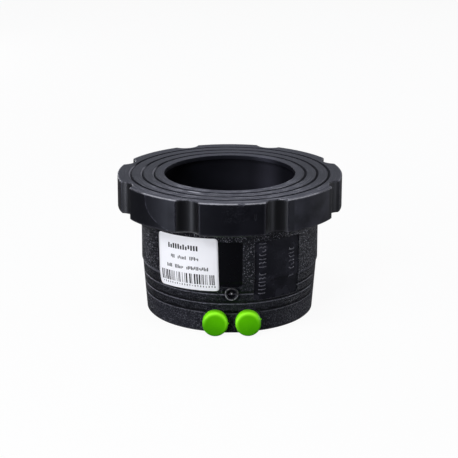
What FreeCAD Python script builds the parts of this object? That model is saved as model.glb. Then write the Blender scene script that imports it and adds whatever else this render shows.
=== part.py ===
import FreeCAD
import Part
import math
import os

# Electrofusion stub flange for a 110 mm polyethylene pipe, standing on its socket end.
# The pipe axis is Z, the flange face looks up, and the two terminals look towards -Y.
# An azimuth is measured in degrees from -Y towards +X. Lengths are in millimetres.

# Overall size
overall_height = 108.0
flange_radius = 87.0
flange_thickness = 25.5
flange_top_edge = 0.5
flange_bottom_edge = 1.0

# Bolt notches in the rim of the flange
notch_count = 8
notch_radius = 10.8
notch_depth = 5.7
notch_corner = 1.5

# Sealing grooves in the flange face
groove_count = 3
inner_land = 7.95
outer_land = 10.1
groove_width = 2.4
groove_depth = 1.3

# Socket for the pipe, with its stop lip at the flange face
pipe_radius = 55.0
pipe_clearance = 0.2
socket_mouth_chamfer = 1.5
lip_step = 4.35
lip_height = 3.2

# Wall of the barrel: straight under the flange, tapered below a small shoulder
barrel_wall = 13.6
taper_top_wall = 12.8
barrel_foot_wall = 9.8
shoulder_height = 39.6
shoulder_rise = 2.2
barrel_foot_edge = 0.8
ring_drops = (23.4, 15.7, 7.9)
ring_depth = 0.5
ring_width = 0.9

# Smooth panels sunk into the barrel
panel_depth = 0.6
panel_corner = 3.0
left_panel_azimuths = (-49.5, 7.1)
left_panel_heights = (37.2, 72.8)
right_panel_azimuths = (14.6, 48.4)
right_panel_heights = (25.8, 72.2)

# Label
label_azimuths = (-51.8, -8.2)
label_heights = (33.3, 74.9)
label_corner = 2.6
label_tilt = 1.6
label_thickness = 0.15

# Heating coil and the recess in the socket wall that carries it
wire_radial = 1.1
wire_axial = 1.5
wire_clearance = 0.05
coil_pitch = 8.2
coil_whole_turns = 5
coil_bottom = 16.4
recess_margin = 1.2

# Terminals
terminal_spacing = 24.8
terminal_height = 10.2
boss_radius = 9.7
boss_stand = 1.8
boss_edge = 0.6
shroud_radius = 8.2
shroud_stand = 6.6
cup_radius = 6.4
cup_depth = 12.0
pin_radius = 2.35
pin_setback = 1.2
pin_tip_chamfer = 0.6
pin_root_radius = 1.8

# Wire leads between the coil and the pins
lead_width = 1.2
lead_thickness = 1.2
lead_channel_clearance = 0.2
weld_tab_width = 3.6
weld_tab_thickness = 0.6
weld_gap = 0.1

# Terminal caps
cap_radius = 9.6
cap_length = 7.4
cap_face_thickness = 1.4
cap_end_gap = 0.4
cap_clearance = 0.05
cap_edge = 0.8
nib_angles = {"left": -2.0, "right": 17.0}
nib_radius = 0.75
nib_length = 1.2

# Fusion indicator
indicator_height = 31.9
collar_radius = 5.2
collar_stand = 1.0
collar_edge = 0.45
indicator_cup_radius = 3.6
indicator_cup_depth = 2.2
indicator_pin_radius = 1.2
indicator_clearance = 0.05
indicator_tip_rise = 1.2
indicator_head_radius = 1.9
indicator_head_length = 1.4
indicator_travel = 2.6
indicator_tip_edge = 0.3

# How far a cutting or joining block runs past the face it works on
reach = 3.0

# Worked out from the sizes above
socket_radius = pipe_radius + pipe_clearance
lip_radius = socket_radius - lip_step
lip_underside = overall_height - lip_height
flange_underside = overall_height - flange_thickness
notch_circle_radius = flange_radius + notch_radius - notch_depth
first_groove_radius = lip_radius + inner_land
last_groove_radius = flange_radius - outer_land
groove_pitch = (last_groove_radius - first_groove_radius) / (groove_count - 1)
barrel_radius = socket_radius + barrel_wall
taper_top_radius = socket_radius + taper_top_wall
barrel_foot_radius = socket_radius + barrel_foot_wall
boss_face = barrel_foot_radius + boss_stand
shroud_end = boss_face + shroud_stand
recess_radius = socket_radius + wire_radial + 2 * wire_clearance
coil_radius = socket_radius + wire_clearance + wire_radial / 2
lead_inner_radius = recess_radius + lead_channel_clearance
lead_outer_radius = lead_inner_radius + lead_thickness
channel_radius = lead_outer_radius + lead_channel_clearance
terminal_side = terminal_spacing / 2
lead_angle = math.asin(terminal_side / lead_outer_radius)
lead_azimuth = math.degrees(lead_angle)
tab_front = -lead_outer_radius * math.cos(lead_angle) - lead_width / 2 * math.sin(lead_angle)
pin_root = tab_front - weld_gap
coil_turns = coil_whole_turns + 2 * lead_azimuth / 360
coil_top = coil_bottom + coil_turns * coil_pitch
recess_bottom = coil_bottom - wire_axial / 2 - recess_margin
recess_top = coil_top + wire_axial / 2 + recess_margin
cup_floor = -(shroud_end - cup_depth)
cap_face = -(shroud_end + cap_end_gap + cap_face_thickness)

Z_AXIS = FreeCAD.Vector(0, 0, 1)
OUTWARD = FreeCAD.Vector(0, -1, 0)
CENTRE = FreeCAD.Vector(0, 0, 0)


def polar(azimuth, radius, height=0.0):
    """The point at an azimuth in degrees, a radius and a height."""
    angle = math.radians(azimuth)
    return FreeCAD.Vector(radius * math.sin(angle), -radius * math.cos(angle), height)


def cylinder_out(radius, x, z, start, end):
    """A cylinder along -Y between two distances from the pipe axis plane."""
    return Part.makeCylinder(radius, abs(end - start), FreeCAD.Vector(x, -start, z), OUTWARD)


def revolved(outline):
    """A solid of revolution about Z from (radius, height) points."""
    points = [FreeCAD.Vector(radius, 0, height) for radius, height in outline]
    face = Part.Face(Part.makePolygon(points + points[:1]))
    return face.revolve(CENTRE, Z_AXIS, 360)


def barrel_side(offset):
    """The barrel's plain outside from foot to flange, moved out by an offset."""
    return [
        (barrel_foot_radius + offset, 0.0),
        (taper_top_radius + offset, shoulder_height),
        (barrel_radius + offset, shoulder_height + shoulder_rise),
        (barrel_radius + offset, flange_underside),
    ]


def barrel_radius_at(height):
    """The radius of the plain barrel at a height on its taper."""
    share = height / shoulder_height
    return barrel_foot_radius + share * (taper_top_radius - barrel_foot_radius)


def skin(inner, outer):
    """The layer that follows the barrel's side between two offsets."""
    def core(offset):
        return revolved([(0, 0)] + barrel_side(offset) + [(0, flange_underside)])
    return core(outer).cut(core(inner))


def pad_prism(azimuths, heights, corner, tilt=0.0):
    """A round-cornered block that reaches out through the barrel wall, square to its middle azimuth."""
    middle = (azimuths[0] + azimuths[1]) / 2
    half_angle = math.radians(azimuths[1] - azimuths[0]) / 2
    half_width = barrel_radius * math.sin(half_angle)
    half_height = (heights[1] - heights[0]) / 2
    near = socket_radius * math.cos(half_angle)
    far = barrel_radius + reach
    block = Part.makeBox(2 * half_width, far - near, 2 * half_height,
                         FreeCAD.Vector(-half_width, -far, -half_height))
    uprights = [e for e in block.Edges if abs(e.tangentAt(e.FirstParameter).y) > 0.99]
    block = block.makeFillet(corner, uprights)
    block.rotate(CENTRE, OUTWARD, tilt)
    block.rotate(CENTRE, Z_AXIS, middle)
    block.translate(FreeCAD.Vector(0, 0, (heights[0] + heights[1]) / 2))
    return block


def flange_outline():
    """The rim of the flange: a circle with half-round notches and rounded notch corners."""
    corner_radius = flange_radius - notch_corner
    corner_reach = notch_radius + notch_corner
    cosine = (corner_radius ** 2 + notch_circle_radius ** 2 - corner_reach ** 2)
    mouth = math.degrees(math.acos(cosine / (2 * corner_radius * notch_circle_radius)))
    pitch = 360 / notch_count
    edges = []
    for k in range(notch_count):
        axis = (k + 0.5) * pitch
        notch = polar(axis, notch_circle_radius)
        centres = [polar(axis + side * mouth, corner_radius) for side in (-1, 1)]
        on_rim = [polar(axis + side * mouth, flange_radius) for side in (-1, 1)]
        on_notch = []
        for centre, rim_point in zip(centres, on_rim):
            towards_notch = (notch - centre).normalize()
            towards_rim = (rim_point - centre).normalize()
            on_notch.append(centre + towards_notch * notch_corner)
            halfway = (towards_notch + towards_rim).normalize()
            edges.append(Part.Arc(rim_point, centre + halfway * notch_corner, on_notch[-1]).toShape())
        bottom = polar(axis, notch_circle_radius - notch_radius)
        edges.append(Part.Arc(on_notch[0], bottom, on_notch[1]).toShape())
        lobe_middle = polar(axis + pitch / 2, flange_radius)
        next_rim_point = polar(axis + pitch - mouth, flange_radius)
        edges.append(Part.Arc(on_rim[1], lobe_middle, next_rim_point).toShape())
    return Part.Wire(Part.__sortEdges__(edges))


def flange_plate():
    """The notched plate with its top and bottom edges broken."""
    face = Part.Face(flange_outline())
    plate = face.extrude(FreeCAD.Vector(0, 0, flange_thickness))
    top = [e for e in plate.Edges if e.BoundBox.ZMin > flange_thickness - 1e-6]
    plate = plate.makeChamfer(flange_top_edge, top)
    bottom = [e for e in plate.Edges if e.BoundBox.ZMax < 1e-6]
    plate = plate.makeChamfer(flange_bottom_edge, bottom)
    plate.translate(FreeCAD.Vector(0, 0, flange_underside))
    return plate


def barrel():
    """The outside of the barrel, with ring grooves whose lower wall slopes in under a flat ledge."""
    foot_side = barrel_radius_at(barrel_foot_edge)
    outline = [(0, 0), (foot_side - barrel_foot_edge, 0), (foot_side, barrel_foot_edge)]
    for drop in ring_drops:
        height = shoulder_height - drop
        low = height - ring_width
        outline.append((barrel_radius_at(low), low))
        outline.append((barrel_radius_at(height) - ring_depth, height))
        outline.append((barrel_radius_at(height), height))
    outline.append((taper_top_radius, shoulder_height))
    outline.append((barrel_radius, shoulder_height + shoulder_rise))
    outline.append((barrel_radius, flange_underside + reach))
    outline.append((0, flange_underside + reach))
    return revolved(outline)


def pipe_way():
    """The space inside: chamfered socket mouth, coil recess, socket and stop lip."""
    mouth_radius = socket_radius + socket_mouth_chamfer + reach
    return revolved([
        (0, -reach),
        (mouth_radius, -reach),
        (socket_radius, socket_mouth_chamfer),
        (socket_radius, recess_bottom),
        (recess_radius, recess_bottom + wire_radial),
        (recess_radius, recess_top - wire_radial),
        (socket_radius, recess_top),
        (socket_radius, lip_underside),
        (lip_radius, lip_underside),
        (lip_radius, overall_height + reach),
        (0, overall_height + reach),
    ])


def sealing_groove(radius):
    """A ring of V section that is cut into the flange face."""
    return revolved([
        (radius, overall_height - groove_depth),
        (radius + groove_width, overall_height + groove_depth),
        (radius - groove_width, overall_height + groove_depth),
    ])


def terminal_boss():
    """The oblong boss that both shrouds stand on."""
    start = socket_radius + reach
    length = boss_face - start
    ends = [cylinder_out(boss_radius, side * terminal_side, terminal_height, start, boss_face)
            for side in (-1, 1)]
    middle = Part.makeBox(terminal_spacing, length, 2 * boss_radius,
                          FreeCAD.Vector(-terminal_side, -boss_face, terminal_height - boss_radius))
    boss = ends[0].fuse([middle, ends[1]]).removeSplitter()
    front = [e for e in boss.Edges if e.BoundBox.YMax < -boss_face + 1e-6]
    return boss.makeChamfer(boss_edge, front)


def pin(x):
    """A contact pin: the thick active end in the shroud and a thinner root in the wall."""
    tip = shroud_end - pin_setback
    shoulder = -cup_floor
    active = cylinder_out(pin_radius, x, terminal_height, shoulder, tip)
    rim = [e for e in active.Edges if e.BoundBox.YMax < -tip + 1e-6]
    active = active.makeChamfer(pin_tip_chamfer, rim)
    root = cylinder_out(pin_root_radius, x, terminal_height, -pin_root, shoulder)
    return active.fuse(root).removeSplitter()


def radial_bar(azimuth, inner, outer, width, low, high):
    """An upright bar of rectangular section at an azimuth."""
    bar = Part.makeBox(width, outer - inner, high - low, FreeCAD.Vector(-width / 2, -outer, low))
    bar.rotate(CENTRE, Z_AXIS, azimuth)
    return bar


def weld_tab(side, gap, start, end):
    """The square plate that joins a lead to its pin, with a gap all round it."""
    width = weld_tab_width + 2 * gap
    corner = FreeCAD.Vector(side * terminal_side - width / 2, -end, terminal_height - width / 2)
    return Part.makeBox(width, end - start, width, corner)


def lead_top(side):
    """The height of the coil's end that a side's lead runs up to."""
    return coil_bottom if side < 0 else coil_top


def lead_channel(side):
    """The slot in the socket wall for one lead, with the pocket behind its weld tab."""
    gap = lead_channel_clearance
    low = terminal_height - lead_width / 2 - gap
    high = lead_top(side) + wire_axial / 2 + gap
    slot = radial_bar(side * lead_azimuth, socket_radius - reach, channel_radius,
                      lead_width + 2 * gap, low, high)
    pocket = weld_tab(side, gap, socket_radius - 2 * reach, -pin_root)
    return slot.fuse(pocket)


def heating_coil():
    """The wound wire, with one lead from each end down to its weld tab."""
    helix = Part.makeHelix(coil_pitch, coil_turns * coil_pitch, coil_radius)
    start = coil_radius - wire_radial / 2
    low = -wire_axial / 2
    corners = [
        FreeCAD.Vector(start, 0, low),
        FreeCAD.Vector(start + wire_radial, 0, low),
        FreeCAD.Vector(start + wire_radial, 0, low + wire_axial),
        FreeCAD.Vector(start, 0, low + wire_axial),
    ]
    section = Part.makePolygon(corners + corners[:1])
    winding = Part.Wire(helix).makePipeShell([section], True, True)
    winding.translate(FreeCAD.Vector(0, 0, coil_bottom))
    winding.rotate(CENTRE, Z_AXIS, -90 - lead_azimuth)
    pieces = []
    for side in (-1, 1):
        top = lead_top(side) + wire_axial / 2
        azimuth = side * lead_azimuth
        pieces.append(radial_bar(azimuth, lead_inner_radius, lead_outer_radius, lead_width,
                                 terminal_height - lead_width / 2, top))
        pieces.append(radial_bar(azimuth, start, lead_outer_radius, lead_width, top - wire_axial, top))
        pieces.append(weld_tab(side, 0, -tab_front - weld_tab_thickness, -tab_front))
    return winding.fuse(pieces).removeSplitter()


def indicator_collar():
    """The ring round the indicator, standing a little proud of the barrel."""
    face = barrel_radius_at(indicator_height) + collar_stand
    ring = cylinder_out(collar_radius, 0, indicator_height, socket_radius + reach, face)
    rim = [e for e in ring.Edges if e.BoundBox.YMax < -face + 1e-6]
    return ring.makeChamfer(collar_edge, rim)


def indicator_cup_floor():
    """The distance of the indicator cup's floor from the pipe axis."""
    return barrel_radius_at(indicator_height) + collar_stand - collar_edge - indicator_cup_depth


def indicator_ways():
    """The cup, the pin's guide hole and the chamber of its head."""
    floor = indicator_cup_floor()
    head_end = recess_radius + indicator_clearance + indicator_head_length
    cup = cylinder_out(indicator_cup_radius, 0, indicator_height, floor, floor + reach + collar_stand)
    guide = cylinder_out(indicator_pin_radius + indicator_clearance, 0, indicator_height,
                         socket_radius, floor + reach)
    chamber = cylinder_out(indicator_head_radius + indicator_clearance, 0, indicator_height,
                           socket_radius, head_end + indicator_travel + indicator_clearance)
    return cup.fuse([guide, chamber])


def fusion_indicator():
    """The headed pin that the melt pushes outwards."""
    start = recess_radius + indicator_clearance
    tip = indicator_cup_floor() + indicator_tip_rise
    shank = cylinder_out(indicator_pin_radius, 0, indicator_height, start, tip)
    rim = [e for e in shank.Edges if e.BoundBox.YMax < -tip + 1e-6]
    shank = shank.makeChamfer(indicator_tip_edge, rim)
    head = cylinder_out(indicator_head_radius, 0, indicator_height, start, start + indicator_head_length)
    return shank.fuse(head).removeSplitter()


def flange_body():
    """The one-piece moulding."""
    body = flange_plate().fuse(barrel())
    body = body.cut([sealing_groove(first_groove_radius + k * groove_pitch) for k in range(groove_count)])
    side_layer = skin(-panel_depth, reach)
    body = body.cut(pad_prism(left_panel_azimuths, left_panel_heights, panel_corner).common(side_layer))
    body = body.cut(pad_prism(right_panel_azimuths, right_panel_heights, panel_corner).common(side_layer))
    shrouds = [cylinder_out(shroud_radius, side * terminal_side, terminal_height,
                            socket_radius + reach, shroud_end) for side in (-1, 1)]
    body = body.fuse([terminal_boss(), indicator_collar()] + shrouds)
    body = body.cut(pipe_way())
    cups = [cylinder_out(cup_radius, side * terminal_side, terminal_height, -cup_floor,
                         shroud_end + reach) for side in (-1, 1)]
    pins = [pin(side * terminal_side) for side in (-1, 1)]
    channels = [lead_channel(side) for side in (-1, 1)]
    return body.cut(cups + pins + channels + [indicator_ways()])


def terminal_cap(side, nib_angle):
    """A push-on cap: a round cup with a bevelled face edge and a gate nib on its side."""
    x = side * terminal_side
    rear = -cap_face - cap_length
    shell = cylinder_out(cap_radius, x, terminal_height, rear, -cap_face)
    face_rim = [e for e in shell.Edges if e.BoundBox.YMax < cap_face + 1e-6]
    shell = shell.makeChamfer(cap_edge, face_rim)
    hollow_end = -cap_face - cap_face_thickness
    hollow = cylinder_out(shroud_radius + cap_clearance, x, terminal_height, rear - reach, hollow_end)
    nib = Part.makeCone(nib_radius, nib_radius / 2, nib_length,
                        FreeCAD.Vector(cap_radius - nib_radius / 2, 0, 0), FreeCAD.Vector(1, 0, 0))
    nib.rotate(CENTRE, OUTWARD, nib_angle)
    nib.translate(FreeCAD.Vector(x, cap_face + cap_length / 2, terminal_height))
    return shell.fuse(nib).cut(hollow)


def label():
    """The sticker, bent to the barrel's side."""
    outline = pad_prism(label_azimuths, label_heights, label_corner, label_tilt)
    return outline.common(skin(0, label_thickness))


def save(name, shape):
    """Write one piece and print what it is."""
    solids = shape.Solids
    shape = solids[0] if len(solids) == 1 else shape
    shape.exportStep("parts/" + name + ".step")
    box = shape.BoundBox
    print(name, "solids", len(solids), "valid", shape.isValid(), "volume", round(shape.Volume, 1),
          "box", [round(v, 2) for v in (box.XMin, box.YMin, box.ZMin, box.XMax, box.YMax, box.ZMax)])


os.makedirs("parts", exist_ok=True)
save("flange_body", flange_body())
save("heating_coil", heating_coil())
for side_name, side in (("left", -1), ("right", 1)):
    save("terminal_pin_" + side_name, pin(side * terminal_side))
    save("terminal_cap_" + side_name, terminal_cap(side, nib_angles[side_name]))
save("fusion_indicator", fusion_indicator())
save("label", label())
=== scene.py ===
import math
import random
import bpy
import bmesh
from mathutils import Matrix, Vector


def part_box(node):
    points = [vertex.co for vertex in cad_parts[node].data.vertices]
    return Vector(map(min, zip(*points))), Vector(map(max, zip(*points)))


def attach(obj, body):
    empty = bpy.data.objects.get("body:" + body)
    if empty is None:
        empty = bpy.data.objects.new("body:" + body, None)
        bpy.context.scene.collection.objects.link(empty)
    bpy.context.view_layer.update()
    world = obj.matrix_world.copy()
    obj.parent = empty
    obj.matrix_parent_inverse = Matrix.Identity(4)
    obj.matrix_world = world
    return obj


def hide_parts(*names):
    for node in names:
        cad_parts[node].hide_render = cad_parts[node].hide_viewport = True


# Electrofusion stub flange for a 110 mm polyethylene pipe, standing on its socket end.
# The pipe axis is Z, the terminals look towards -Y, and an azimuth runs from -Y towards +X in degrees.
# Lengths are in millimetres, and the meshes are in metres.
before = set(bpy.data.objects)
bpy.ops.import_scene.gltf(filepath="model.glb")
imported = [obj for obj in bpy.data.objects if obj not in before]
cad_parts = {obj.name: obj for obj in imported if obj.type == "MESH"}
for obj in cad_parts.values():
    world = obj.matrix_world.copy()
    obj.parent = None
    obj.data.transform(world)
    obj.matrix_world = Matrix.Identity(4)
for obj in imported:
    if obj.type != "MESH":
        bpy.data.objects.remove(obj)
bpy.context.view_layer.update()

MM = 0.001

# Barrel
BARREL_RADIUS = 68.8
TAPER_TOP_RADIUS = 68.0
BARREL_FOOT_RADIUS = 65.0
SHOULDER_BOTTOM = 39.6
SHOULDER_TOP = 41.8
RING_HEIGHTS = (16.2, 23.9, 31.7)
RING_WIDTH = 0.9
UNDERCUT_HEIGHT = 2.4

# Flange and the zone of the sealing grooves in its face
FLANGE_UNDERSIDE = 82.5
FLANGE_FACE = 108.0
FLANGE_RADIUS = 87.0
GROOVED_RADII = (57.0, 79.0)
GROOVE_MIDDLES = (58.8, 67.85, 76.9)
GROOVE_DEPTH = 1.3

# Smooth panels in the barrel
PANEL_DEPTH = 0.6
LEFT_PANEL_AZIMUTHS = (-49.5, 7.1)
LEFT_PANEL_HEIGHTS = (37.2, 72.8)
RIGHT_PANEL_AZIMUTHS = (14.6, 48.4)
RIGHT_PANEL_HEIGHTS = (25.8, 72.2)

# Radii between which the mask of the bore ends, and those of the barrel's outside and the flange's rim begin
BORE_END = (55.6, 56.0)
OUTSIDE_START = (61.0, 62.0)
RIM_START = (80.0, 81.0)

# Relief of the moulding's surface, and the rounding of its edges
GRAIN_HEIGHT = 0.7
PIT_HEIGHT = 0.8
UNDERCUT_DEPTH = 1.3
TURNING_HEIGHT = 0.012
SWIRL_HEIGHT = 0.35
FLOW_HEIGHT = 0.05
SCUFF_DEPTH = 0.09
CHIP_DEPTH = 0.3
MOULDED_EDGE = 0.5

# Flow line of the melt on one lobe of the rim: its azimuth grows with the cube of the drop below the face
FLOW_START = -48.0
FLOW_WIDTH = 0.6
FLOW_BEND = 0.00103
FLOW_LOBE_AZIMUTHS = (-58.0, -33.0)

# Marks on the rim: a scuffed patch, a chip in the edge, a crack, a paler stretch of wall and a paler lobe
SCUFF_AZIMUTHS = (-5.0, 8.0)
SCUFF_HEIGHTS = (93.0, 109.0)
CHIP_AZIMUTHS = (3.2, 5.4)
CHIP_HEIGHTS = (106.4, 109.0)
CHIPPED_EDGE_AZIMUTHS = (2.6, 6.0)
CRACK_AZIMUTHS = (10.9, 11.7)
CRACK_HEIGHTS = (95.5, 100.5)
PALE_WALL_AZIMUTHS = (2.0, 22.0)
PALE_LOBE_AZIMUTHS = (32.0, 58.0)

# Painted light on the face: fine highlight streaking at the front, painted sheen on the back, one highlight
# streak, and glints on the grooves' walls
FRONT_FACE_AZIMUTHS = (-60.0, 60.0)
SHEEN_BACK_AZIMUTHS = (110.0, 160.0)
GLINT_STREAK_AZIMUTHS = (-31.0, -23.0)
GLINT_STREAK_RADII = (60.3, 62.3)
SIDE_GLINT_AZIMUTHS = (-106.0, -80.0)
FRONT_GLINT_AZIMUTHS = (-36.0, -22.0)

# Painted light on the barrel and in the bore: fewer and dimmer painted glints on the grain, the most brightly
# lit stretch of the rings, and a painted sheen
FEWER_GLINTS_AZIMUTHS = (-61.0, 53.0)
LIT_RING_AZIMUTHS = (-115.0, -66.0)
BORE_SHEEN_AZIMUTHS = (136.0, 152.0)

# Label and its print, which is measured from the label's lower left corner along its sides
LABEL_AZIMUTHS = (-51.8, -8.2)
LABEL_HEIGHTS = (33.3, 74.9)
LABEL_WIDTH = math.radians(LABEL_AZIMUTHS[1] - LABEL_AZIMUTHS[0]) * BARREL_RADIUS
LABEL_TALL = LABEL_HEIGHTS[1] - LABEL_HEIGHTS[0]
LABEL_TILT = 1.6
LABEL_THICKNESS = 0.15
LABEL_CORNER = 2.6
LABEL_CORNER_STEPS = 6
LABEL_ROWS = 24
LABEL_COLUMNS = 32
LABEL_GAP = 0.1
LABEL_BEND_START = 45.0
LABEL_BEND_LENGTH = 6.0
LABEL_SLOPE = 0.145
INK_THICKNESS = 0.04
INK_STEP = 1.5
STROKE_PITCH = 1.6
BARCODE_LEFT = 3.0
BARCODE_RIGHT = 49.0
BARCODE_BOTTOM = 5.0
BARCODE_TOP = 13.0
BARCODE_BARS = (0.4, 0.4, 0.8, 1.2)
BARCODE_GAPS = (0.6, 0.8, 1.2, 1.7)

# Rows of print: left and right end, bottom and top, a stroke's width, and the places left empty
PRINT_ROWS = (
    (10.5, 38.5, 31.0, 35.0, 1.4, ()),
    (13.0, 38.0, 23.4, 26.2, 0.8, (3, 4, 11, 12)),
    (9.0, 45.0, 15.9, 18.7, 0.8, (4, 5, 12, 13)),
    (4.0, 49.5, 2.7, 4.1, 0.7, range(1, 60, 2)),
)

# Raised marks: strokes as shares of a mark's width and pitch, and the section of a stroke
MARK_PITCH = 3.05
MARK_WIDTH = 0.9
MARK_HEIGHT = 0.5
MARK_STROKES = {
    "bar": [[(0, 0.2), (0.3, 0.12), (0.7, 0.12), (1, 0.2)]],
    "hook": [[(0, 0.5), (0.06, 0.2), (0.3, 0.1), (0.75, 0.12), (1, 0.3)]],
    "wave": [[(0, 0.1), (0.25, 0.35), (0.45, 0.15)], [(0.6, 0.1), (0.8, 0.4), (1, 0.2)]],
    "short": [[(0.55, 0.1), (0.8, 0.1), (1, 0.3), (0.95, 0.55)]],
    "gap": [],
}
STROKE_SECTION = ((-1, 0), (-0.7, 0.7), (0, 1), (0.7, 0.7), (1, 0))
STROKE_ROOT = 0.1
STROKE_TIP = 0.25

# Columns of raised marks: left edge, width and bottom on the right panel, and the marks from the bottom up
LEFT_COLUMN = (4.0, 5.0, 4.4, (
    "bar", "bar", "hook", "bar", "wave", "hook", "gap", "bar", "wave", "bar", "hook", "short", "wave", "bar"))
RIGHT_COLUMN = (30.6, 4.6, 14.4, (
    "wave", "gap", "hook", "short", "wave", "hook", "bar", "hook"))

# Caps on the terminals: the face's bow as (radius, setback), and a nib as (reach past the wall, radius)
TERMINAL_SPACING = 24.8
TERMINAL_HEIGHT = 10.2
CAP_FACE = 75.2
CAP_REAR = 67.8
CAP_RADIUS = 9.6
CAP_BORE = 8.25
CAP_FLOOR = 1.4
CAP_ROUNDING = 1.5
CAP_CHAMFER = 0.4
CAP_LEAD = 0.3
CAP_CORNER = 0.5
CAP_BOW = ((0, 0.12), (4.0, 0.1), (7.5, 0.02))
CAP_STEPS = 72
CAP_EDGE_STEPS = 8
NIB_ANGLES = {"left": -2.0, "right": 17.0}
NIB_PROFILE = ((-0.5, 0.95), (0.0, 0.85), (0.25, 0.7), (0.6, 0.62), (0.8, 0.5), (0.9, 0.25), (0.85, 0))
NIB_STEPS = 16

# Fusion indicator: its collar, the radii of a painted reflection on its bead, the clear zone round it, and
# where the barrel's front begins there
INDICATOR_HEIGHT = 31.9
INDICATOR_TIP = -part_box("fusion_indicator")[0].y / MM
INDICATOR_ZONE = 7.6
INDICATOR_FRONT = (55.0, 60.0)
COLLAR_FACE = 68.4
COLLAR_RADIUS = 5.2
COLLAR_BORE = 3.6
COLLAR_REFLECTION_RADII = (4.25, 4.85)
BEAD_COVER = 0.15
BEAD_DEPTH = 2.0
BEAD_STEPS = 12
COLLAR_STEPS = 48

# Floor, and shares of the white background: in reflections, in the floor's own glow, and as light
FLOOR_SIZE = 6000.0
REFLECTED_BACKGROUND = 0.04
FLOOR_GLOW = 0.94
BACKGROUND_LIGHT = 0.05

# Camera
CAMERA_AZIMUTH = -1.25
CAMERA_ELEVATION = 17.48
CAMERA_DISTANCE = 1312.0
CAMERA_TARGET = (-0.55, 0.0, 61.83)
CAMERA_LENS = 131.6
CAMERA_ROLL = 0.10


def polar(azimuth, radius, height):
    """The point at an azimuth, a radius and a height, in metres."""
    angle = math.radians(azimuth)
    return Vector((radius * math.sin(angle), -radius * math.cos(angle), height)) * MM


def skin_radius(height):
    """The plain outside radius of the barrel at a height."""
    if height >= SHOULDER_TOP:
        return BARREL_RADIUS
    if height >= SHOULDER_BOTTOM:
        share = (height - SHOULDER_BOTTOM) / (SHOULDER_TOP - SHOULDER_BOTTOM)
        return TAPER_TOP_RADIUS + share * (BARREL_RADIUS - TAPER_TOP_RADIUS)
    return BARREL_FOOT_RADIUS + height / SHOULDER_BOTTOM * (TAPER_TOP_RADIUS - BARREL_FOOT_RADIUS)


class Shade:
    """A shader socket that works like a number in a sum. Each operation adds a Math node."""

    def __init__(self, tree, socket=None):
        self.tree = tree
        self.socket = socket

    def node(self, kind, settings=None, inputs=None, output=0):
        """Add a node, give it its settings and then its input values or links."""
        made = self.tree.nodes.new(kind)
        for name, value in (settings or {}).items():
            setattr(made, name, value)
        for name, value in (inputs or {}).items():
            if isinstance(value, Shade):
                self.tree.links.new(value.socket, made.inputs[name])
            else:
                made.inputs[name].default_value = value
        return Shade(self.tree, made.outputs[output])

    def math(self, operation, *others):
        return self.node("ShaderNodeMath", {"operation": operation}, dict(enumerate((self,) + others)))

    def __add__(self, other):
        return self.math("ADD", other)

    def __sub__(self, other):
        return self.math("SUBTRACT", other)

    def __rsub__(self, other):
        return self.math("MULTIPLY_ADD", -1.0, other)

    def __mul__(self, other):
        return self.math("MULTIPLY", other)

    __radd__ = __add__
    __rmul__ = __mul__

    def rise(self, low, high):
        """0 below the low value, 1 above the high one, and smooth between."""
        return self.node("ShaderNodeMapRange", {"interpolation_type": "SMOOTHSTEP"},
                         {"Value": self, "From Min": low, "From Max": high})

    def within(self, low, high, soft):
        """1 between two values and 0 outside them, with soft edges."""
        return self.rise(low - soft, low + soft) * (1 - self.rise(high - soft, high + soft))


class Finish:
    """A material with one Principled shader. Its coordinates are the object's own in millimetres."""

    def __init__(self, name, **constants):
        self.material = bpy.data.materials.new(name)
        self.material.use_nodes = True
        self.tree = self.material.node_tree
        self.shader = self.tree.nodes["Principled BSDF"]
        for socket, value in constants.items():
            self.shader.inputs[socket.replace("_", " ")].default_value = value
        start = Shade(self.tree)
        place = start.node("ShaderNodeTexCoord", output="Object")
        self.place = place.node("ShaderNodeVectorMath", {"operation": "SCALE"}, {0: place, "Scale": 1 / MM})
        self.x, self.y, self.z = (
            place.node("ShaderNodeSeparateXYZ", None, {0: self.place}, axis) for axis in range(3))

    def distance(self, across, up):
        """The distance from an axis, from two coordinates square to it."""
        return (across * across + up * up).math("SQRT")

    def point(self, x, y=0.0, z=0.0):
        """A vector from three coordinates."""
        return self.x.node("ShaderNodeCombineXYZ", None, {0: x, 1: y, 2: z})

    def noise(self, scale, detail=2.0, roughness=0.5, place=None):
        """Noise from 0 to 1, with its scale in waves to each millimetre."""
        return self.x.node("ShaderNodeTexNoise", None, {
            "Vector": place or self.place, "Scale": scale, "Detail": detail, "Roughness": roughness})

    def lines(self, along, scale, detail=2.0):
        """Noise that changes along one coordinate only."""
        return self.noise(scale, detail, 0.6, self.point(along))

    def feed(self, socket, value):
        """Link what varies over the surface into the shader."""
        self.tree.links.new(value.socket, self.shader.inputs[socket])

    def blend(self, factor, first, second):
        """A colour between two others."""
        return self.x.node("ShaderNodeMix", {"data_type": "RGBA"}, {0: factor, 6: first, 7: second}, 2)

    def closeness(self, reach, inside):
        """How much of the near surroundings is filled, on the outside or on the inside of the surface."""
        settings = {"inside": inside, "only_local": True, "samples": 6}
        return 1 - self.x.node("ShaderNodeAmbientOcclusion", settings, {"Distance": reach * MM}, "AO")

    def bump(self, height, edge=0.0):
        """Feed a height in millimetres, over edges that are rounded by a radius in millimetres."""
        inputs = {"Height": height * MM, "Distance": 1.0}
        if edge:
            inputs["Normal"] = height.node("ShaderNodeBevel", {"samples": 4}, {"Radius": edge * MM})
        self.feed("Normal", height.node("ShaderNodeBump", None, inputs))


def tone(level, blue=1.0):
    """A neutral colour, with its blue raised by a factor."""
    return (level, level, level * blue, 1.0)


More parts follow.
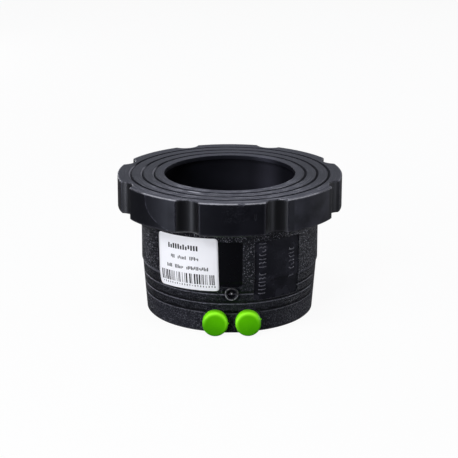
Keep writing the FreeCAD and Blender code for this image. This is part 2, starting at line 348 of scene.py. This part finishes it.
class Moulding(Finish):
    """The black moulding's finish. Each of its masks is 1 on a zone of the surface and 0 off it."""

    def __init__(self):
        super().__init__("moulded_polyethylene", Specular_IOR_Level=0.3,
                         Specular_Tint=(0.79, 0.83, 1.0, 1), Coat_Roughness=0.3)
        self.forward = self.y * -1.0
        self.radius = self.distance(self.x, self.y)
        self.azimuth = self.x.math("ARCTAN2", self.forward) * math.degrees(1)
        self.patchy = self.noise(0.5, 3.0).rise(0.3, 0.6)
        self.cloud = self.noise(0.08, 4.0)

        # Flange and bore
        self.face = self.z.rise(FLANGE_FACE - 0.1, FLANGE_FACE - 0.02)
        self.front_face = self.face * (0.08 + self.azimuth.within(*FRONT_FACE_AZIMUTHS, 20.0) * 0.92)
        self.grooved = self.radius.within(*GROOVED_RADII, 0.2)
        in_grooves = self.z.within(FLANGE_FACE - GROOVE_DEPTH - 0.1, FLANGE_FACE - 0.12, 0.05)
        self.grooves = self.grooved * in_grooves
        self.rim = self.radius.rise(*RIM_START) * (1 - self.face)
        self.notches = self.rim * (1 - self.radius.rise(FLANGE_RADIUS - 0.8, FLANGE_RADIUS - 0.4))
        self.bore = 1 - self.radius.rise(*BORE_END)

        # Barrel
        below_flange = 1 - self.z.rise(FLANGE_UNDERSIDE - 0.5, FLANGE_UNDERSIDE - 0.2)
        self.outside = self.radius.rise(*OUTSIDE_START) * below_flange
        self.left_panel = self.outside * self.patch(LEFT_PANEL_AZIMUTHS, LEFT_PANEL_HEIGHTS, 0.25, 0.25)
        self.right_panel = self.outside * self.patch(RIGHT_PANEL_AZIMUTHS, RIGHT_PANEL_HEIGHTS, 0.25, 0.25)
        self.skin = self.outside - self.left_panel - self.right_panel
        self.front = self.azimuth.within(LEFT_PANEL_AZIMUTHS[0], RIGHT_PANEL_AZIMUTHS[1], 2.0)
        self.middle_band = self.z.within(RING_HEIGHTS[0], SHOULDER_BOTTOM, 0.5)
        self.foot = 1 - self.z.rise(RING_HEIGHTS[0] - 2.0, RING_HEIGHTS[0])

        self.add_grain()
        self.add_marks()

    def patch(self, azimuths, heights, soft_sides, soft_ends):
        """The mask between two azimuths and two heights."""
        return self.azimuth.within(*azimuths, soft_sides) * self.z.within(*heights, soft_ends)

    def add_grain(self):
        """The spark-eroded skin: its mask, its coarseness, its height, and the light tip of each grain,
        partly grain colour and partly painted glints, more and brighter at the sides.
        """
        ring_edges = sum(self.z.within(ring, ring + RING_WIDTH, 0.2) for ring in RING_HEIGHTS)
        from_indicator = self.distance(self.x, self.z - INDICATOR_HEIGHT)
        near_indicator = 1 - from_indicator.rise(INDICATOR_ZONE - 0.5, INDICATOR_ZONE)
        clear = self.forward.rise(*INDICATOR_FRONT) * near_indicator
        self.grained = self.skin * (1 - ring_edges) * (1 - clear)
        self.coarse = self.grained * (1 - self.middle_band * 0.5 - self.foot * 0.6)
        grains = self.noise(0.75, 4.0, 0.65).rise(0.4, 0.62)
        pits = self.x.node("ShaderNodeTexVoronoi", {"feature": "SMOOTH_F1"}, {
            "Vector": self.point(self.x, self.y * 0.7, self.z), "Scale": 0.85, "Smoothness": 0.25})
        self.sparks = grains * GRAIN_HEIGHT + pits * PIT_HEIGHT
        # The barrel's sides get more and brighter painted glints
        self.sides = 1 - self.azimuth.within(*FEWER_GLINTS_AZIMUTHS, 5.0)
        cover = self.coarse * (1 - self.middle_band * 0.5) * (0.5 + self.sides * 0.4)
        self.grain_glints = cover * (1 - pits).rise(0.58, 0.76) * (0.1 + grains * 0.9)

    def add_marks(self):
        """Marks on the rim: the melt's flow line and what lies past it, the scuffed patch, chip and crack."""
        flow = self.azimuth - (FLANGE_FACE - self.z).math("POWER", 3.0) * FLOW_BEND
        flow_lobe = self.rim * self.azimuth.within(*FLOW_LOBE_AZIMUTHS, 0.5)
        line = flow_lobe * flow.within(FLOW_START, FLOW_START + FLOW_WIDTH, 0.3)
        self.flow_line = line * self.noise(0.3).rise(0.3, 0.6)
        self.past_line = flow_lobe * flow.rise(FLOW_START, FLOW_START + 0.8)
        scuffed = self.rim * self.patch(SCUFF_AZIMUTHS, SCUFF_HEIGHTS, 3.0, 3.0)
        self.scuff = scuffed * self.noise(0.9, 3.0).rise(0.5, 0.7)
        chip = self.patch(CHIP_AZIMUTHS, CHIP_HEIGHTS, 0.4, 0.4)
        crack = self.patch(CRACK_AZIMUTHS, CRACK_HEIGHTS, 0.2, 1.0)
        self.chips = self.rim * (chip + crack)

    def relief(self):
        """The height of everything too fine for the mesh."""
        ramps = sum(self.z.within(ring, ring + UNDERCUT_HEIGHT, 0.15)
                    * (1 - self.z.rise(ring, ring + UNDERCUT_HEIGHT)) for ring in RING_HEIGHTS)
        undercuts = ramps * self.skin * (0.6 + self.patchy * 0.4)
        turning = self.face * self.lines(self.radius, 2.5, 3.0)
        swirl = (1 - self.grained) * self.noise(0.035, 2.0)
        marks = self.flow_line * FLOW_HEIGHT - self.scuff * SCUFF_DEPTH - self.chips * CHIP_DEPTH
        moulded = self.coarse * self.sparks - undercuts * UNDERCUT_DEPTH + swirl * SWIRL_HEIGHT
        return moulded + turning * TURNING_HEIGHT + marks

    def dust_and_sheen(self):
        """Where the black is paler: painted sheen on the face and in the bore, a painted highlight on the
        flow line and painted sheen past it, a paler lobe and wall, the right panel partly a dusting and
        partly painted sheen, and a dusting at the foot.
        """
        # Painted sheen in the bore, strongest on one stretch of its far wall
        bore = self.bore * (0.15 + self.azimuth.within(*BORE_SHEEN_AZIMUTHS, 10.0) * 0.5)
        # Painted sheen on the back of the face
        face = self.face * self.azimuth.math("ABSOLUTE").rise(*SHEEN_BACK_AZIMUTHS) * 0.25
        lobe = self.azimuth.within(*PALE_LOBE_AZIMUTHS, 0.5) * self.noise(0.06, 3.0).rise(0.3, 0.7) * 0.5
        wall = self.azimuth.within(*PALE_WALL_AZIMUTHS, 2.0) * self.noise(0.1, 3.0).rise(0.3, 0.6) * 0.06
        # The right panel paler: partly a dusting, partly painted sheen
        panel = self.right_panel * (0.1 + self.noise(0.08, 3.0).rise(0.4, 0.7) * 0.25)
        # The flow line painted light as a highlight, and painted sheen past it
        flow = self.flow_line * 0.8 + self.past_line * 0.05
        foot = self.foot * self.outside * 0.15
        # The front of the face paler as painted sheen; the foot has a light dusting
        return bore + self.front_face * 0.5 + face + self.rim * (lobe + wall) + panel + flow + foot

    def painted_highlights(self):
        """Painted highlights: fine light streaking round the face, one light streak, and glints on the
        grooves' walls.
        """
        around = self.point(self.radius * 1.3, self.azimuth * 0.06)
        streak_highlights = self.front_face * self.noise(1.0, 3.0, 0.65, around).rise(0.5, 0.72)
        glint_streak = self.azimuth.within(*GLINT_STREAK_AZIMUTHS, 2.0) * self.radius.within(*GLINT_STREAK_RADII, 0.3)
        outer_sides = sum(self.radius.within(middle + 0.1, middle + 1.1, 0.1) for middle in GROOVE_MIDDLES)
        walls = outer_sides * self.z.within(FLANGE_FACE - GROOVE_DEPTH, FLANGE_FACE - 0.05, 0.05)
        side_glint = self.azimuth.within(*SIDE_GLINT_AZIMUTHS, 6.0)
        front_glint = self.azimuth.within(*FRONT_GLINT_AZIMUTHS, 4.0) * 0.7
        return streak_highlights + self.face * glint_streak * 1.2 + walls * (side_glint + front_glint) * 0.8

    def rim_highlight(self):
        """A painted highlight along the face's outer edge, strongest at the front, broken at the chip."""
        outermost = self.radius.rise(FLANGE_RADIUS - 1.3, FLANGE_RADIUS - 0.8)
        top = self.z.rise(FLANGE_FACE - 0.8, FLANGE_FACE - 0.4)
        whole = 1 - self.azimuth.within(*CHIPPED_EDGE_AZIMUTHS, 0.4)
        return outermost * top * whole * (0.12 + self.front * (0.35 + self.patchy * 0.5))

    def worn_and_lit_edges(self):
        """Edges painted lighter, partly as wear and partly as a painted highlight, apart from those of the
        bore, the grooves and the panels.
        """
        panel_rims = self.outside * (1 - self.middle_band) * (1 - self.coarse)
        exposed = (1 - self.bore) * (1 - self.grooved * 0.85) * (1 - panel_rims * 0.6)
        return exposed * self.closeness(1.5, inside=True).rise(0.07, 0.35) * (0.2 + self.patchy * 0.8)

    def ring_highlights(self):
        """Painted highlights on the slopes of the rings and on the barrel's shoulder away from the front."""
        slopes = sum(self.z.within(ring - RING_WIDTH, ring - 0.1, 0.1) for ring in RING_HEIGHTS)
        shoulder = self.z.within(SHOULDER_BOTTOM + 0.2, SHOULDER_TOP + 0.2, 0.3) * (1 - self.front)
        return self.skin * (slopes + shoulder) * (0.3 + self.patchy * 0.7)

    def colour(self):
        """The black with its dusting and painted sheen, light grain and painted glints, painted highlights,
        edges lighter from wear and painted highlight, and painted shade in each crevice over all.
        """
        black = self.blend(self.cloud, tone(0.0012, 1.8), tone(0.0026, 1.7))
        # Painted shade: the notches and the left panel painted darker
        shaded_hollows = self.blend((self.notches + self.left_panel) * 0.8, black, tone(0.0004, 1.6))
        dusty_and_sheened = self.blend(self.dust_and_sheen(), shaded_hollows, tone(0.05, 1.35))
        # Light grain and painted glints, more and brighter at the barrel's sides
        glint_tone = self.blend(self.sides, tone(0.55, 1.15), tone(0.45, 1.15))
        grain_glinted = self.blend(self.grain_glints, dusty_and_sheened, glint_tone)
        # Painted highlights on the face: light streaking, one light streak and glints
        highlighted = self.blend(self.painted_highlights(), grain_glinted, tone(0.40, 1.1))
        # Painted highlight along the face's outer edge
        rim_highlighted = self.blend(self.rim_highlight(), highlighted, tone(0.40, 1.05))
        # Edges painted lighter: partly wear, partly painted highlight
        edges_worn_and_lit = self.blend(self.worn_and_lit_edges(), rim_highlighted, tone(0.13, 1.2))
        # Painted highlights on the rings, brightest on the lit left side
        lit_ring_side = self.azimuth.within(*LIT_RING_AZIMUTHS, 10.0)
        rubbed_and_lit = self.blend(self.ring_highlights(), edges_worn_and_lit, self.blend(lit_ring_side, tone(0.12, 1.2), tone(0.3, 1.15)))
        # Painted shade in each crevice and in the grooves
        crevice_shade = self.closeness(2.5, inside=False).rise(0.25, 0.6) * 0.8 + self.grooves * 0.2
        return self.blend(crevice_shade, rubbed_and_lit, tone(0.0015, 1.5))

    def roughness(self):
        """Satin, rougher on the face, in the grooves and where it is scuffed, smoother on the panels."""
        skin = self.coarse * 0.06 + self.cloud * 0.06 - (self.left_panel + self.right_panel) * 0.08
        return 0.32 + skin + self.face * 0.18 + self.grooves * 0.4 + self.past_line * 0.06 + self.scuff * 0.2


def moulded_polyethylene():
    """Black polyethylene: satin flange, smooth panels and bore, spark-eroded barrel, edges lightened by
    rubbing, and painted highlights, sheen and shade.
    """
    made = Moulding()
    made.bump(made.relief(), MOULDED_EDGE)
    made.feed("Base Color", made.colour())
    made.feed("Coat Weight", made.notches * 0.55)
    made.feed("Roughness", made.roughness())
    return made.material


def rubbed_and_lit_polyethylene():
    """The same moulding where it stands proud and is smoothed by rubbing: the raised marks, with edges
    painted lighter, partly from wear and partly as a painted highlight.
    """
    made = Finish("rubbed_and_lit_polyethylene", Specular_IOR_Level=0.4)
    wear = made.noise(0.6, 3.0)
    # Edges painted lighter: partly wear, partly painted highlight
    edges = made.closeness(0.6, inside=True).rise(0.1, 0.5)
    plain = made.blend(wear, tone(0.003, 1.3), tone(0.012, 1.2))
    made.feed("Base Color", made.blend(edges, plain, tone(0.14, 1.2)))
    made.feed("Roughness", 0.2 + wear * 0.15)
    made.bump(wear * 0.04, 0.15)
    return made.material


def indicator_ring():
    """The dark glossy ring round the indicator, with a painted reflection as a light line along its lower
    side.
    """
    made = Finish("indicator_ring", Specular_IOR_Level=0.6)
    from_axis = made.distance(made.x, made.z - INDICATOR_HEIGHT)
    below = (INDICATOR_HEIGHT - made.z).rise(-1.0, 3.0) * 0.8 + 0.2
    # Painted reflection: a light line round the bead, strongest along its lower side
    line = from_axis.within(*COLLAR_REFLECTION_RADII, 0.15) * below * made.noise(0.7).rise(0.3, 0.6)
    made.feed("Base Color", made.blend(line, tone(0.004, 1.3), tone(0.35, 1.1)))
    made.feed("Roughness", 0.22 + made.noise(1.2) * 0.15)
    return made.material


def indicator_plastic():
    """Black polyethylene of the fusion indicator's pin, with a light spot on its tip."""
    made = Finish("indicator_plastic", Specular_IOR_Level=0.5)
    cloud = made.noise(1.5, 2.0)
    forward = made.y * -1.0
    from_axis = made.distance(made.x, made.z - INDICATOR_HEIGHT)
    tip = forward.rise(INDICATOR_TIP - 0.2, INDICATOR_TIP - 0.02) * (1 - from_axis.rise(0.4, 0.7))
    plain = made.blend(cloud, tone(0.006, 1.2), tone(0.015, 1.2))
    made.feed("Base Color", made.blend(tip, plain, tone(0.5, 1.05)))
    made.feed("Roughness", 0.25 + cloud * 0.1)
    made.bump(cloud * 0.02, 0.2)
    return made.material


def label_film():
    """Off-white printed film."""
    made = Finish("label_film", Roughness=0.42, Specular_IOR_Level=0.4)
    cloud = made.noise(0.06, 2.0)
    made.feed("Base Color", made.blend(cloud, (0.84, 0.84, 0.87, 1), (0.90, 0.90, 0.925, 1)))
    made.bump(made.noise(0.12, 2.0) * 0.06)
    return made.material


def label_ink():
    """Dark grey printing ink."""
    made = Finish("label_ink", Roughness=0.5, Specular_IOR_Level=0.3)
    made.feed("Base Color", made.blend(made.noise(0.8, 3.0), tone(0.008, 1.2), tone(0.02, 1.1)))
    return made.material


def cap_plastic():
    """Lime green soft polyethylene, painted lighter towards the top as painted light, with a painted
    highlight round the edge of the face.
    """
    made = Finish("cap_plastic", Specular_IOR_Level=0.12)
    cloud = made.noise(0.15, 3.0)
    forward = made.y * -1.0
    above = made.z - TERMINAL_HEIGHT
    across = made.x.math("ABSOLUTE") - TERMINAL_SPACING / 2
    outer = made.distance(above, across).rise(CAP_RADIUS - 3.4, CAP_RADIUS - 0.6)
    # Painted highlight: a lighter ring round the face's edge
    ring = outer * forward.rise(CAP_FACE - 1.5, CAP_FACE - 0.9)
    # Painted light: lighter towards the top and towards the other cap, on the face and on the wall
    lit = (above - across * 0.3).rise(-9.0, 9.0)
    face = made.blend(lit * 0.8 + cloud * 0.2, (0.040, 0.27, 0.0, 1), (0.105, 0.52, 0.0, 1))
    side = made.blend(lit * lit, (0.15, 0.66, 0.003, 1), (0.26, 1.0, 0.008, 1))
    sided = made.blend(forward.rise(CAP_FACE - CAP_ROUNDING, CAP_FACE - 0.4), side, face)
    made.feed("Base Color", made.blend(ring * lit * lit, sided, (0.30, 0.96, 0.02, 1)))
    made.feed("Roughness", 0.36 + cloud * 0.1)
    made.bump(made.noise(0.7, 2.0) * 0.015)
    return made.material


def turned_brass():
    """Brass with fine turning marks along the pin's length."""
    made = Finish("turned_brass", Metallic=1.0)
    marks = made.lines(made.y, 9.0)
    made.feed("Base Color", made.blend(marks, (0.78, 0.56, 0.24, 1), (0.88, 0.68, 0.34, 1)))
    made.feed("Roughness", 0.22 + marks * 0.15)
    made.bump(marks * 0.01)
    return made.material


def resistance_wire():
    """Drawn copper-nickel wire with a thin skin of polyethylene here and there."""
    made = Finish("resistance_wire", Metallic=0.9)
    film = made.noise(0.25, 3.0).rise(0.5, 0.65)
    made.feed("Base Color", made.blend(film, (0.55, 0.42, 0.32, 1), (0.20, 0.16, 0.13, 1)))
    made.feed("Roughness", 0.3 + film * 0.25)
    made.bump(made.noise(3.0) * 0.02)
    return made.material


def dress(node, material):
    """Put a finish on a CAD node."""
    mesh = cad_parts[node].data
    mesh.materials.clear()
    mesh.materials.append(material)


def piece(name, mesh, material, smooth=True, body="fitting"):
    """Turn a bmesh into a piece that rides on a body."""
    bmesh.ops.recalc_face_normals(mesh, faces=mesh.faces)
    data = bpy.data.meshes.new(name)
    mesh.to_mesh(data)
    mesh.free()
    data.materials.append(material)
    if smooth:
        data.shade_smooth()
    made = bpy.data.objects.new(name, data)
    bpy.context.scene.collection.objects.link(made)
    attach(made, body)
    return made


def skin_rings(mesh, rings, closed=False, capped=False):
    """Join rings of points with quads; a ring of one point is a pole, and capped ends are flat faces."""
    loops = [[mesh.verts.new(point) for point in ring] for ring in rings]
    pairs = list(zip(loops, loops[1:]))
    if closed:
        pairs.append((loops[-1], loops[0]))
    for first, second in pairs:
        count = max(len(first), len(second))
        for i in range(count):
            j = (i + 1) % count
            if len(first) == 1:
                mesh.faces.new((first[0], second[i], second[j]))
            elif len(second) == 1:
                mesh.faces.new((first[i], second[0], first[j]))
            else:
                mesh.faces.new((first[i], second[i], second[j], first[j]))
    if capped:
        mesh.faces.new(loops[-1])
        mesh.faces.new(loops[0])


def turned_rings(profile, x, z, steps):
    """Rings about an axis along -Y from (radius, distance) points."""
    rings = []
    for radius, out in profile:
        count = steps if radius > 0 else 1
        rings.append([Vector((x + radius * math.cos(math.tau * i / count), -out,
                              z + radius * math.sin(math.tau * i / count))) * MM for i in range(count)])
    return rings


def arc_points(radius, out, size, start, end, steps):
    """Points of a rounding about (radius, out), from one angle to another in degrees."""
    angles = [math.radians(start + (end - start) * i / steps) for i in range(steps + 1)]
    return [(radius + size * math.cos(angle), out + size * math.sin(angle)) for angle in angles]


def label_radius(height):
    """The radius of the label's back, which bends gently over the barrel's shoulder."""
    below = max(0.0, LABEL_BEND_START - height)
    if below < LABEL_BEND_LENGTH:
        return BARREL_RADIUS + LABEL_GAP - LABEL_SLOPE * below ** 2 / (2 * LABEL_BEND_LENGTH)
    return BARREL_RADIUS + LABEL_GAP - LABEL_SLOPE * (below - LABEL_BEND_LENGTH / 2)


def on_label(along, up, lift):
    """The point of the label's front at distances from its lower left corner, lifted by a height."""
    tilt = math.radians(LABEL_TILT)
    across = along - LABEL_WIDTH / 2
    rise = up - LABEL_TALL / 2
    turn = (across * math.cos(tilt) - rise * math.sin(tilt)) / BARREL_RADIUS
    azimuth = sum(LABEL_AZIMUTHS) / 2 + math.degrees(turn)
    height = sum(LABEL_HEIGHTS) / 2 + rise * math.cos(tilt) + across * math.sin(tilt)
    return polar(azimuth, label_radius(height) + LABEL_THICKNESS + lift, height)


def on_right_panel(along, up, lift):
    """The point of the right panel's floor at distances from its lower left corner, lifted by a height."""
    azimuth = RIGHT_PANEL_AZIMUTHS[0] + math.degrees(along / BARREL_RADIUS)
    height = RIGHT_PANEL_HEIGHTS[0] + up
    return polar(azimuth, skin_radius(height) - PANEL_DEPTH + lift, height)


def terminal_cap(side, x, material):
    """A push-on cap: a bowed face with a rounded edge, and a bore for the shroud."""
    edge = CAP_ROUNDING
    floor = CAP_FACE - CAP_FLOOR
    profile = [(radius, CAP_FACE - setback) for radius, setback in CAP_BOW]
    profile += arc_points(CAP_RADIUS - edge, CAP_FACE - edge, edge, 90, 0, CAP_EDGE_STEPS)
    profile += [(CAP_RADIUS, CAP_REAR + CAP_CHAMFER), (CAP_RADIUS - CAP_LEAD, CAP_REAR)]
    profile += [(CAP_BORE + CAP_LEAD, CAP_REAR), (CAP_BORE, CAP_REAR + CAP_CHAMFER)]
    profile += [(CAP_BORE, floor - CAP_CORNER), (CAP_BORE - CAP_CORNER, floor), (0, floor)]
    mesh = bmesh.new()
    skin_rings(mesh, turned_rings(profile, x, TERMINAL_HEIGHT, CAP_STEPS))
    made = piece("terminal_cap_" + side + "_moulding", mesh, material, body="cap_" + side)
    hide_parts("terminal_cap_" + side)


def gate_nib(side, x, material):
    """The torn-off gate on a cap's wall: a short stub with a round end."""
    angle = math.radians(NIB_ANGLES[side])
    middle = Vector((x, -(CAP_FACE + CAP_REAR) / 2, TERMINAL_HEIGHT))
    outward = Vector((math.cos(angle), 0, math.sin(angle)))
    across = Vector((0, 1, 0))
    upward = outward.cross(across)
    rings = []
    for reach, size in NIB_PROFILE:
        count = NIB_STEPS if size else 1
        spokes = [math.tau * i / count for i in range(count)]
        centre = middle + outward * (CAP_RADIUS + reach)
        rings.append([(centre + (across * math.cos(t) + upward * math.sin(t)) * size) * MM for t in spokes])
    mesh = bmesh.new()
    skin_rings(mesh, rings)
    piece("terminal_cap_" + side + "_nib", mesh, material, body="cap_" + side)


def label_sticker(material):
    """The sticker: a thin sheet with round corners, bent to the barrel and over its shoulder."""
    turn = math.radians(90) / LABEL_CORNER_STEPS
    ends = [LABEL_CORNER * (1 - math.cos(turn * i)) for i in range(LABEL_CORNER_STEPS + 1)]
    straight = LABEL_TALL - 2 * LABEL_CORNER
    heights = ends + [LABEL_CORNER + straight * i / LABEL_ROWS for i in range(1, LABEL_ROWS)]
    heights += [LABEL_TALL - height for height in reversed(ends)]
    rings = []
    for up in heights:
        from_edge = min(up, LABEL_TALL - up, LABEL_CORNER)
        inset = LABEL_CORNER - math.sqrt(LABEL_CORNER ** 2 - (LABEL_CORNER - from_edge) ** 2)
        width = LABEL_WIDTH - 2 * inset
        stations = [inset + width * i / LABEL_COLUMNS for i in range(LABEL_COLUMNS + 1)]
        front = [on_label(along, up, 0) for along in stations]
        back = [on_label(along, up, -LABEL_THICKNESS) for along in reversed(stations)]
        rings.append(front + back)
    mesh = bmesh.new()
    skin_rings(mesh, rings, capped=True)
    made = piece("label_sticker", mesh, material)
    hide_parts("label")


def printed_bar(mesh, left, bottom, right, top):
    """An upright bar of ink, in short lengths that follow the label's bend."""
    steps = max(1, round((top - bottom) / INK_STEP))
    corners = ((left, -INK_THICKNESS), (right, -INK_THICKNESS), (right, INK_THICKNESS), (left, INK_THICKNESS))
    heights = [bottom + (top - bottom) * i / steps for i in range(steps + 1)]
    rings = [[on_label(along, up, lift) for along, lift in corners] for up in heights]
    skin_rings(mesh, rings, capped=True)


def printed_row(mesh, draw, left, right, bottom, top, stroke, gaps):
    """A row of plain strokes in groups, which stands for a line of print."""
    places = int((right - left - stroke) / (stroke * STROKE_PITCH)) + 1
    tall = top - bottom
    for place in range(places):
        if place in gaps:
            continue
        at = left + place * stroke * STROKE_PITCH
        low = bottom + draw.choice((0.0, 0.0, 0.25)) * tall
        high = top - draw.choice((0.0, 0.0, 0.3)) * tall
        printed_bar(mesh, at, low, at + stroke, high)


def label_print(material):
    """Rows of plain strokes and a field of bars."""
    draw = random.Random(4)
    mesh = bmesh.new()
    for row in PRINT_ROWS:
        printed_row(mesh, draw, *row)
    at = BARCODE_LEFT
    while at < BARCODE_RIGHT:
        bar = draw.choice(BARCODE_BARS)
        printed_bar(mesh, at, BARCODE_BOTTOM, at + bar, BARCODE_TOP)
        at += bar + draw.choice(BARCODE_GAPS)
    piece("label_print", mesh, material, smooth=False)


def raised_stroke(mesh, path):
    """A raised stroke of round section along a path of (along, up) points on the right panel."""
    points = [Vector(point) for point in path]
    last = len(points) - 1
    first_way = (points[1] - points[0]).normalized()
    last_way = (points[last] - points[last - 1]).normalized()
    stations = [(points[0] - first_way * MARK_WIDTH / 2, first_way, STROKE_TIP)]
    for i, point in enumerate(points):
        way = (points[min(i + 1, last)] - points[max(i - 1, 0)]).normalized()
        stations.append((point, way, 1.0))
    stations.append((points[last] + last_way * MARK_WIDTH / 2, last_way, STROKE_TIP))
    rings = []
    for centre, way, size in stations:
        side = Vector((way.y, -way.x)) * MARK_WIDTH / 2 * size
        ring = []
        for share, lift in STROKE_SECTION:
            spot = centre + side * share
            ring.append(on_right_panel(spot.x, spot.y, MARK_HEIGHT * size * lift - STROKE_ROOT * (lift == 0)))
        rings.append(ring)
    skin_rings(mesh, rings, capped=True)


def raised_column(name, material, left, width, bottom, marks):
    """A column of generic raised marks, each of one or two bent strokes, from the bottom up."""
    mesh = bmesh.new()
    for place, mark in enumerate(marks):
        for stroke in MARK_STROKES[mark]:
            raised_stroke(mesh, [(left + width * across, bottom + MARK_PITCH * (place + up))
                                 for across, up in stroke])
    piece(name, mesh, material)


def indicator_collar(material):
    """The glossy rounded bead of the ring round the indicator, a little proud of its collar."""
    bead = (COLLAR_RADIUS - COLLAR_BORE) / 2 + BEAD_COVER
    middle = (COLLAR_RADIUS + COLLAR_BORE) / 2
    crest = COLLAR_FACE + BEAD_COVER
    profile = [(middle + bead, crest - BEAD_DEPTH)]
    profile += arc_points(middle, crest - bead, bead, 0, 180, BEAD_STEPS)
    profile += [(middle - bead, crest - BEAD_DEPTH)]
    mesh = bmesh.new()
    skin_rings(mesh, turned_rings(profile, 0, INDICATOR_HEIGHT, COLLAR_STEPS), closed=True)
    piece("indicator_collar", mesh, material)


def direction_of(azimuth, elevation):
    """The unit vector towards an azimuth and an elevation."""
    across = math.radians(azimuth)
    up = math.radians(elevation)
    return Vector((math.sin(across) * math.cos(up), -math.cos(across) * math.cos(up), math.sin(up)))


def aim(thing, target):
    """Turn a camera or lamp towards a point."""
    direction = Vector(target) - thing.location
    thing.rotation_euler = direction.to_track_quat("-Z", "Y").to_euler()


def softbox(name, azimuth, elevation, distance, width, height, power, tint):
    """A soft studio lamp round the object, aimed at its middle; its lengths are in metres."""
    data = bpy.data.lights.new(name, "AREA")
    data.shape = "RECTANGLE"
    data.size = width
    data.size_y = height
    data.energy = power
    data.color = tint
    lamp = bpy.data.objects.new(name, data)
    bpy.context.scene.collection.objects.link(lamp)
    middle = Vector((0, 0, FLANGE_UNDERSIDE * MM))
    lamp.location = middle + direction_of(azimuth, elevation) * distance
    aim(lamp, middle)


def lamps():
    """Small low lamps that draw strips on the upright walls, and larger high ones for the faces."""
    cool = (0.95, 0.96, 1.0)
    blue = (0.84, 0.87, 1.0)
    # Each lamp's azimuth and elevation, distance, width, height, power and tint
    softbox("left_light", -56, 0, 1.2, 0.16, 0.16, 6.6, cool)
    softbox("left_back_light", -152, 0, 1.2, 0.25, 0.3, 2.0, cool)
    softbox("left_front_light", -30, 18, 1.5, 0.3, 0.3, 7.0, cool)
    softbox("left_high_light", -60, 38, 1.5, 0.4, 0.35, 3.6, cool)
    softbox("front_high_light", -22, 38, 1.7, 0.4, 0.35, 5, cool)
    softbox("right_light", 60, 0, 1.2, 0.22, 0.16, 2.7, cool)
    softbox("right_side_light", 92, 0, 1.2, 0.2, 0.16, 1.5, cool)
    softbox("right_back_light", 122, 6, 1.2, 0.3, 0.4, 4.0, cool)
    softbox("back_light", 176, 22, 1.4, 1.3, 0.5, 2.2, blue)
    softbox("high_back_light", -175, 50, 1.4, 0.3, 0.25, 2.3, blue)
    softbox("overhead_light", -10, 74, 1.4, 0.5, 0.3, 8.0, cool)


def shown_rays(start):
    """How much of the white background a ray meets: all of it for the camera, some in reflections."""
    camera = start.node("ShaderNodeLightPath", output="Is Camera Ray")
    glossy = start.node("ShaderNodeLightPath", output="Is Glossy Ray")
    through = start.node("ShaderNodeLightPath", output="Is Transmission Ray")
    return camera.math("MAXIMUM", glossy.math("MAXIMUM", through) * REFLECTED_BACKGROUND)


def background():
    """White surroundings, which light the object only a little."""
    world = bpy.data.worlds.new("studio_air")
    bpy.context.scene.world = world
    world.use_nodes = True
    tree = world.node_tree
    back = tree.nodes["Background"]
    back.inputs["Color"].default_value = (1, 1, 1, 1)
    strength = shown_rays(Shade(tree)) * (1 - BACKGROUND_LIGHT) + BACKGROUND_LIGHT
    tree.links.new(strength.socket, back.inputs["Strength"])


def floor_paper():
    """Pale paper that shows as white, keeps a faint shadow and throws little light back."""
    paper = Finish("floor_paper", Roughness=0.9)
    direct = paper.x.node("ShaderNodeLightPath", output="Is Camera Ray")
    paper.feed("Base Color", paper.blend(direct, tone(0.05), tone(0.8)))
    glow = paper.x.node("ShaderNodeEmission", None, {"Color": (1, 1, 1, 1), "Strength": 1.0})
    lit = Shade(paper.tree, paper.shader.outputs[0])
    mixed = glow.node("ShaderNodeMixShader", None, {0: shown_rays(paper.x) * FLOOR_GLOW, 1: lit, 2: glow})
    paper.tree.links.new(mixed.socket, paper.tree.nodes["Material Output"].inputs["Surface"])
    return paper.material


def studio_floor():
    """A plain floor, which isn't part of the object."""
    mesh = bmesh.new()
    bmesh.ops.create_grid(mesh, x_segments=1, y_segments=1, size=FLOOR_SIZE * MM)
    data = bpy.data.meshes.new("studio_floor")
    mesh.to_mesh(data)
    mesh.free()
    data.materials.append(floor_paper())
    floor = bpy.data.objects.new("studio_floor", data)
    bpy.context.scene.collection.objects.link(floor)


def photo_camera():
    """The camera at the photograph's angle and distance."""
    data = bpy.data.cameras.new("photo_camera")
    data.lens = CAMERA_LENS
    data.sensor_width = 36.0
    data.clip_start = 0.1
    data.clip_end = 30.0
    camera = bpy.data.objects.new("photo_camera", data)
    bpy.context.scene.collection.objects.link(camera)
    target = Vector(CAMERA_TARGET) * MM
    camera.location = target + direction_of(CAMERA_AZIMUTH, CAMERA_ELEVATION) * CAMERA_DISTANCE * MM
    aim(camera, target)
    camera.rotation_euler.rotate_axis("Z", math.radians(CAMERA_ROLL))
    bpy.context.scene.camera = camera
    bpy.context.scene.view_settings.view_transform = "Standard"


dress("flange_body", moulded_polyethylene())
label_sticker(label_film())
label_print(label_ink())
dress("heating_coil", resistance_wire())
dress("fusion_indicator", indicator_plastic())
brass = turned_brass()
green = cap_plastic()
for side, sign in (("left", -1), ("right", 1)):
    dress("terminal_pin_" + side, brass)
    terminal_cap(side, sign * TERMINAL_SPACING / 2, green)
    gate_nib(side, sign * TERMINAL_SPACING / 2, green)
indicator_collar(indicator_ring())
rubbed_and_lit = rubbed_and_lit_polyethylene()
raised_column("raised_marks_left", rubbed_and_lit, *LEFT_COLUMN)
raised_column("raised_marks_right", rubbed_and_lit, *RIGHT_COLUMN)

background()
studio_floor()
lamps()
photo_camera()
